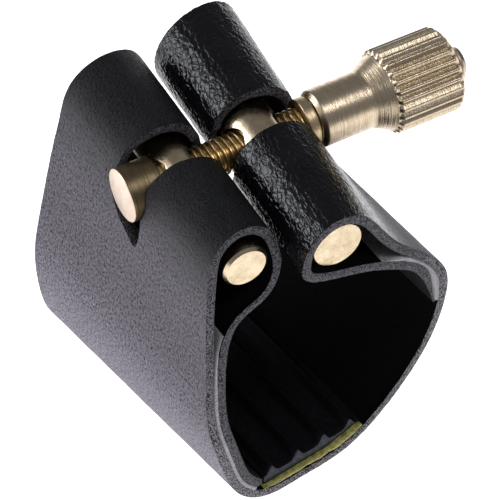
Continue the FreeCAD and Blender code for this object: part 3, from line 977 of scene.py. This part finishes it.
def washer():
    """Thrust washer between the right rod and the nut."""
    corners = [(WASHER_START, BORE), (WASHER_START, WASHER_RADIUS)]
    corners += [(WASHER_END, WASHER_RADIUS), (WASHER_END, BORE), (WASHER_START, BORE)]
    obj = turned("washer_ring", softened(corners, bevel=0.18), TURNED_SIDES, WASHER_BRASS)
    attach(obj, "washer")
    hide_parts("thrust_washer")


NUT_START = 10.9
NUT_CHAMFER = 0.5
SHANK_END = 17.1
SHANK_RADIUS = 3.15
CONE_END = 19.15
HEAD_START, HEAD_END = 19.2, 27.1
HEAD_RADIUS = 4.67
HEAD_CHAMFER = 0.45
COUNTERSINK = 2.6
KNURLS = 27
KNURL_DEPTH = 0.42
KNURL_CREST = 1.25
KNURL_FADE = 0.1
SIDES_PER_KNURL = 14


def knurl(x, radius, turn):
    """Straight sharp ridges on the nut's head, fading at its chamfers."""
    ridge = 1 - np.abs((turn * KNURLS / (2 * math.pi)) % 1.0 - 0.5) * 2
    ridge = np.clip(ridge * KNURL_CREST, 0, 1)
    depth = np.clip(radius - (HEAD_RADIUS - KNURL_DEPTH - KNURL_FADE), 0, KNURL_DEPTH)
    return radius - depth * (1 - ridge) * (x > CONE_END)


def thumb_nut():
    """Thumb nut: a plain shank, a cone and a knurled head, bored for the stud."""
    corners = [(NUT_START, BORE), (NUT_START, SHANK_RADIUS - NUT_CHAMFER)]
    corners += [(NUT_START + NUT_CHAMFER, SHANK_RADIUS), (SHANK_END, SHANK_RADIUS)]
    corners += [(CONE_END, HEAD_RADIUS - 0.5), (HEAD_START, HEAD_RADIUS - HEAD_CHAMFER)]
    corners += [(HEAD_START + 0.35, HEAD_RADIUS), (HEAD_END - HEAD_CHAMFER, HEAD_RADIUS)]
    corners += [(HEAD_END, HEAD_RADIUS - 0.5), (HEAD_END, COUNTERSINK)]
    corners += [(HEAD_END - HEAD_CHAMFER, BORE), (NUT_START, BORE)]
    outline = resample(softened(corners, bevel=0.12), step=0.25)
    obj = turned("nut_knurled", outline, KNURLS * SIDES_PER_KNURL, NUT_BRASS, knurl)
    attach(obj, "nut")
    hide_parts("thumb_nut")


stud()
washer()
thumb_nut()

for rod in ("left_rod", "right_rod"):
    rod_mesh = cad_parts[rod].data
    rod_mesh.materials.clear()
    rod_mesh.materials.append(ROD_BRASS)


# -------- pad and glue

PAD_LOW, PAD_HIGH = box_mm("ribbed_pad")
RIBS = 4
RIB_HEIGHT = 1.25
RIB_WIDTH = 0.95
RIB_PITCH = 3.5
PAD_CENTRE = -0.6
PAD_BEVEL = 1.2
PAD_BEVEL_RUN = 4.4
VALLEY_RISE = 0.1
PAD_WAVE = 0.03
PAD_COLUMNS, PAD_ROWS = 150, 60


def slab(name, upper, lower, materials, bulge=0.0):
    """Closed solid between two grids of points. Its two y ends stand out by `bulge` at
    mid height and take the last material."""
    net = Net()
    up, down = net.add(upper), net.add(lower)
    ends = []
    for row, outward in ((0, -bulge), (-1, bulge)):
        middle = (upper[:, row] + lower[:, row]) / 2
        middle[:, 1] += outward
        ends.append(net.add(middle))
    cut = len(materials) - 1
    net.skin(up)
    net.skin(down[:, ::-1])
    net.skin(np.stack([down[0], up[0]]))
    net.skin(np.stack([up[-1], down[-1]]))
    net.skin(np.stack([up[:, 0], ends[0], down[:, 0]]), cut)
    net.skin(np.stack([down[:, -1], ends[1], up[:, -1]]), cut)
    return net.build(name, materials)


def pad_top(x):
    """Height of the pad's upper side: four soft ribs between shallow valleys."""
    middle = (x - PAD_CENTRE) / RIB_PITCH
    phase = np.abs((middle % 1.0) - 0.5)
    rib = np.exp(-((2 * phase * RIB_PITCH / RIB_WIDTH) ** 2)) * (np.abs(middle) < RIBS / 2)
    valley = VALLEY_RISE * (1 - np.cos(middle * 2 * math.pi)) / 2
    return PAD_HIGH[2] - RIB_HEIGHT + valley + rib * (RIB_HEIGHT - VALLEY_RISE)


def pad_bottom(x):
    """Height of the pad's lower side, which rises on the right with the leather."""
    rise = np.clip((x - PAD_HIGH[0]) / PAD_BEVEL_RUN + 1, 0, 1)
    return PAD_LOW[2] + PAD_BEVEL * rise


def pad():
    """Ribbed rubber pad on the bottom of the strap."""
    across = np.linspace(PAD_LOW[0], PAD_HIGH[0], PAD_COLUMNS)
    along = np.linspace(PAD_LOW[1], PAD_HIGH[1], PAD_ROWS)
    x, y = np.meshgrid(across, along, indexing="ij")
    upper = np.stack([x, y, pad_top(x)], axis=-1)
    upper[..., 2] += PAD_WAVE * field(upper, (0.7, 1.4, 0.7), 8, depth=2)
    lower = np.stack([x, y, pad_bottom(x)], axis=-1)
    # Sides take the rubber with painted shade, cut ends the lighter rubber with painted light.
    obj = slab("pad_ribbed", upper, lower, [SHADED_RUBBER, CUT_LIT_RUBBER])
    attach(obj, "strap_left")
    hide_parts("ribbed_pad")


# Films of glue: how far each stands out in front, how unevenly, and how round its front is.
# The left one thins out towards its top, the wedge towards the right loop.
GLUE_ROWS = 60
GLUE_LUMP = 1.3
FILM_BULGE = 0.06
LEFT_FILM_FRONT, LEFT_FILM_UNEVEN = 0.1, 0.08
LEFT_FILM_TOP = 9.0
LEFT_FILM_FADE = 7.0
LEFT_FILM_LEAST = 0.06
WEDGE_FRONT, WEDGE_UNEVEN = 0.02, 0.06
WEDGE_WIDTH = 1.6
WEDGE_RISE = 3.5

# Bead of glue round the pad: it shows on the pad's left and swells in front of it.
BEAD_FRONT, BEAD_UNEVEN = -0.15, 0.12
BEAD_BULGE = 0.12
BEAD_LEFT, BEAD_RIGHT = 0.5, -0.15
BEAD_SWELL, BEAD_SWELL_RUN = 0.15, 0.2
BEAD_LEAST = 0.05


def glue_grid(columns, front, back):
    """Column numbers and y levels of a film of glue on the strap's flesh side."""
    column = np.repeat(columns[:, None], GLUE_ROWS, axis=1)
    return column, rows_between(front, back, GLUE_ROWS)


def below_grain(column, y, depth):
    """Points at a depth in millimetres below the grain side."""
    place, outward = strap_place(column, y)
    place = place - outward * depth[..., None]
    return np.stack([place[..., 0], y, place[..., 1]], axis=-1)


def below_leather(column, y):
    """Points on the flesh side of leather of full thickness."""
    return below_grain(column, y, np.full(y.shape, LEATHER))


def uneven_front(columns, level, amount):
    """Front levels of a film of glue that was squeezed out unevenly."""
    return level + amount * along_noise(ALONG[columns], GLUE_LUMP, 9, depth=2)


def pad_glue():
    """Bead of glue that fills the space between the leather and the pad."""
    level = np.full(len(ALONG), -HALF)
    x = below_leather(np.arange(len(ALONG)), level)[:, 0]
    bottom = (ALONG > KNOTS[LEFT_FOOT]) & (ALONG < KNOTS[WIDEST])
    under_pad = (x > PAD_LOW[0] - BEAD_LEFT) & (x < PAD_HIGH[0] + BEAD_RIGHT)
    columns = np.flatnonzero(bottom & under_pad)
    front = uneven_front(columns, level[columns] - BEAD_FRONT, BEAD_UNEVEN)
    column, y = glue_grid(columns, front, np.full(len(columns), PAD_HIGH[1]))
    lower = below_leather(column, y)
    upper = lower.copy()
    swell = BEAD_SWELL * smooth_step(PAD_LOW[1] - y, 0.0, BEAD_SWELL_RUN)
    upper[..., 2] = np.maximum(pad_bottom(upper[..., 0]) + swell, lower[..., 2] + BEAD_LEAST)
    obj = slab("glue_bed", upper, lower, [PAD_GLUE], BEAD_BULGE)
    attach(obj, "strap_left")
    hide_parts("pad_adhesive")


def left_ply_glue():
    """Film of glue between the two plies of the left wall."""
    low = outline_at(-HALF)[:, 1] < LEFT_FILM_TOP
    columns = np.flatnonzero((ALONG < KNOTS[LEFT_LOOP[0]]) & low)
    edge, _, _, back = edge_levels()
    front = uneven_front(columns, edge[columns] - LEFT_FILM_FRONT, LEFT_FILM_UNEVEN)
    column, y = glue_grid(columns, front, back[columns])
    top = ALONG[columns[-1]]
    thin = smooth_step(ALONG[column], top - LEFT_FILM_FADE, top)
    upper = below_grain(column, y, np.full(y.shape, PLY_PITCH - LEATHER))
    gap = PLY_PITCH - 2 * LEATHER
    lower = below_grain(column, y, LEATHER + (gap - LEFT_FILM_LEAST) * thin)
    obj = slab("glue_left_plies", upper, lower, [PLY_GLUE], FILM_BULGE)
    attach(obj, "strap_left")
    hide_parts("left_ply_adhesive")


def right_ply_glue():
    """Wedge of glue between the end of the flap and the right wall."""
    level = np.full(len(ALONG), -HALF)
    flap = np.flatnonzero(ALONG > KNOTS[RIGHT_LOOP[1]])
    wall = np.flatnonzero((ALONG > KNOTS[WIDEST]) & (ALONG < KNOTS[RIGHT_CREST]))
    flap_flesh = below_grain(flap, level[flap], leather_thickness(flap))
    wall_flesh = below_leather(wall, level[wall])
    apart = np.linalg.norm(flap_flesh[:, None] - wall_flesh[None], axis=-1)
    opposite = wall[np.argmin(apart, axis=1)]
    glued = apart.min(axis=1) < WEDGE_WIDTH
    flap, opposite = flap[glued], opposite[glued]
    front = uneven_front(flap, level[flap] - WEDGE_FRONT, WEDGE_UNEVEN)
    column, y = glue_grid(flap, front, -level[flap])
    lower = below_grain(column, y, leather_thickness(column))
    other, _ = glue_grid(opposite, front, -level[flap])
    fill = smooth_step(ALONG[column], ALONG[flap[0]], ALONG[flap[0]] + WEDGE_RISE)[..., None]
    upper = lower * (1 - fill) + below_leather(other, y) * fill
    obj = slab("glue_right_plies", upper, lower, [PLY_GLUE], FILM_BULGE)
    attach(obj, "strap_right")
    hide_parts("right_ply_adhesive")


pad()
pad_glue()
left_ply_glue()
right_ply_glue()


# -------- camera, light, floor

CAMERA_AZIMUTH = math.radians(-36.17)
CAMERA_ELEVATION = math.radians(48.16)
CAMERA_ROLL = math.radians(-0.76)
CAMERA_DISTANCE = 300.0
AIM = Vector((-1.66, -6.39, 10.14))
SENSOR = 36.0
LENS = 210.6


def add_camera():
    """Long lens at a place, aim and roll that match the photo's view."""
    data = bpy.data.cameras.new("camera")
    data.sensor_width = SENSOR
    data.lens = LENS
    data.clip_start = 0.01
    camera = bpy.data.objects.new("camera", data)
    ahead = Vector((
        -math.sin(CAMERA_AZIMUTH) * math.cos(CAMERA_ELEVATION),
        math.cos(CAMERA_AZIMUTH) * math.cos(CAMERA_ELEVATION),
        -math.sin(CAMERA_ELEVATION),
    ))
    turn = ahead.to_track_quat("-Z", "Y").to_matrix() @ Matrix.Rotation(CAMERA_ROLL, 3, "Z")
    camera.matrix_world = Matrix.Translation((AIM - CAMERA_DISTANCE * ahead) * MM) @ turn.to_4x4()
    bpy.context.scene.collection.objects.link(camera)
    bpy.context.scene.camera = camera


DAYLIGHT = (0.94, 0.96, 1.0)


def softbox(name, azimuth, elevation, distance, width, height, power):
    """Soft rectangular light that faces the object from an azimuth and elevation in degrees."""
    data = bpy.data.lights.new(name, "AREA")
    data.shape = "RECTANGLE"
    data.size, data.size_y = width * MM, height * MM
    data.energy = power
    data.color = DAYLIGHT
    light = bpy.data.objects.new(name, data)
    a, e = math.radians(azimuth), math.radians(elevation)
    away = Vector((math.sin(a) * math.cos(e), -math.cos(a) * math.cos(e), math.sin(e)))
    light.location = away * distance * MM
    light.rotation_euler = away.to_track_quat("Z", "Y").to_euler()
    bpy.context.scene.collection.objects.link(light)


FLOOR_REACH = 2000.0
FLOOR_GAP = 0.05


def add_floor():
    """Large square just below the strap."""
    mesh = bpy.data.meshes.new("floor")
    reach = FLOOR_REACH * MM
    level = (LOW - FLOOR_GAP) * MM
    signs = ((-1, -1), (1, -1), (1, 1), (-1, 1))
    corners = [(x * reach, y * reach, level) for x, y in signs]
    mesh.from_pydata(corners, [], [(0, 1, 2, 3)])
    mesh.materials.append(FLOOR)
    floor = bpy.data.objects.new("floor", mesh)
    bpy.context.scene.collection.objects.link(floor)


SKY = (0.92, 0.94, 1.0)
SKY_STRENGTH = 0.22


def add_world():
    """Even pale light from all round."""
    world = bpy.data.worlds.new("studio")
    world.use_nodes = True
    background = world.node_tree.nodes["Background"]
    background.inputs["Color"].default_value = (*SKY, 1)
    background.inputs["Strength"].default_value = SKY_STRENGTH
    bpy.context.scene.world = world


add_camera()
softbox("window", azimuth=224, elevation=26, distance=500, width=250, height=210, power=1.1)
softbox("studio_wall", azimuth=236, elevation=28, distance=520, width=820, height=520, power=0.8)
softbox("fill", azimuth=25, elevation=65, distance=600, width=200, height=200, power=0.8)
add_floor()
add_world()
bpy.context.scene.view_settings.view_transform = "Standard"
